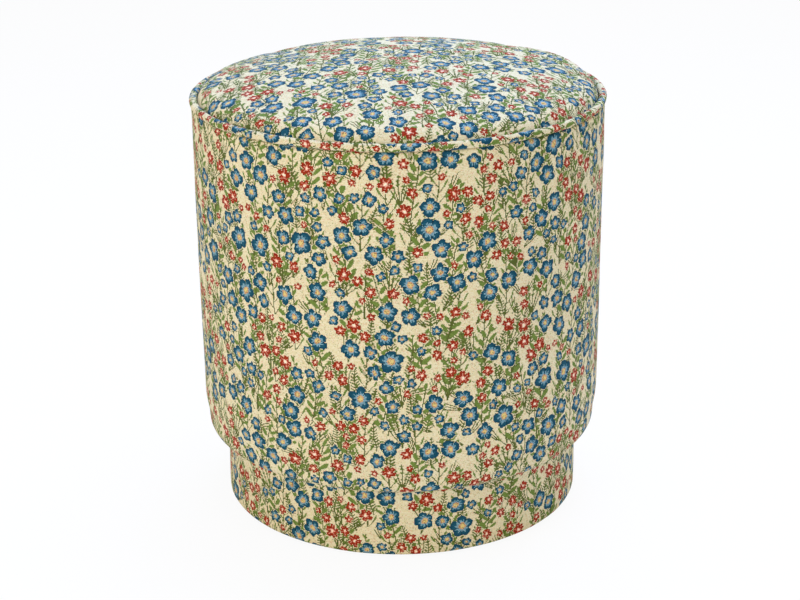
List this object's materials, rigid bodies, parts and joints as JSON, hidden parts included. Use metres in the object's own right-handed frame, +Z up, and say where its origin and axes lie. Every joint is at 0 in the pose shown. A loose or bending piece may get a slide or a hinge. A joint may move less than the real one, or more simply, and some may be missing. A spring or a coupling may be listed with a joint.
{
  "type": "tuffet",
  "caption": "Round upholstered tuffet: a padded drum with a domed, piped seat on a narrower round plinth, covered all over in woven floral tapestry.",
  "frame": {"origin": "on the floor at the middle of the plinth", "axes": "+Z up through the middle of the seat; the part is round, with the side panel's closing seam at the back, towards +Y"},
  "size_m": [0.4174, 0.4174, 0.4626],
  "materials": {
    "tapestry": "ribbed woven tapestry with a small meadow floral in blue, red and green on cream",
    "cotton_cord": "twisted cotton cord",
    "lining_cloth": "black spun-bonded cloth",
    "foam": "open-cell foam",
    "fibre": "polyester fibre wadding",
    "hardboard": "smooth brown hardboard",
    "plywood": "sawn plywood",
    "pine": "planed pine",
    "glide_plastic": "moulded black plastic",
    "staple_wire": "galvanised wire",
    "zinc_steel": "zinc-plated steel"
  },
  "bodies": {
    "root": {"base_board": "plywood", "base_board_screws": "zinc_steel", "bottom_lining": "lining_cloth", "drum_cover": "tapestry", "drum_foam": "foam", "drum_hem_staples": "staple_wire", "drum_shell": "hardboard", "glide_1": "glide_plastic", "glide_2": "glide_plastic", "glide_3": "glide_plastic", "glide_4": "glide_plastic", "glide_5": "glide_plastic", "glide_6": "glide_plastic", "glide_nails": "zinc_steel", "joining_screws": "zinc_steel", "lining_staples": "staple_wire", "lower_ring_screws": "zinc_steel", "piping": "tapestry", "piping_cord": "cotton_cord", "plinth_block_1": "pine", "plinth_block_2": "pine", "plinth_block_3": "pine", "plinth_block_4": "pine", "plinth_block_5": "pine", "plinth_block_6": "pine", "plinth_cover": "tapestry", "plinth_hem_staples": "staple_wire", "plinth_lower_ring": "plywood", "plinth_shell": "hardboard", "plinth_top_staples": "staple_wire", "plinth_upper_ring": "plywood", "plinth_wadding": "fibre", "seat_board": "plywood", "seat_board_screws": "zinc_steel", "seat_cover": "tapestry", "seat_foam": "foam", "seat_wadding": "fibre", "shell_bottom_tacks": "zinc_steel", "shell_top_tacks": "zinc_steel", "upper_ring_screws": "zinc_steel", "upright_1": "pine", "upright_2": "pine", "upright_3": "pine", "upright_4": "pine", "upright_5": "pine", "upright_6": "pine"}
  },
  "joints": []
}
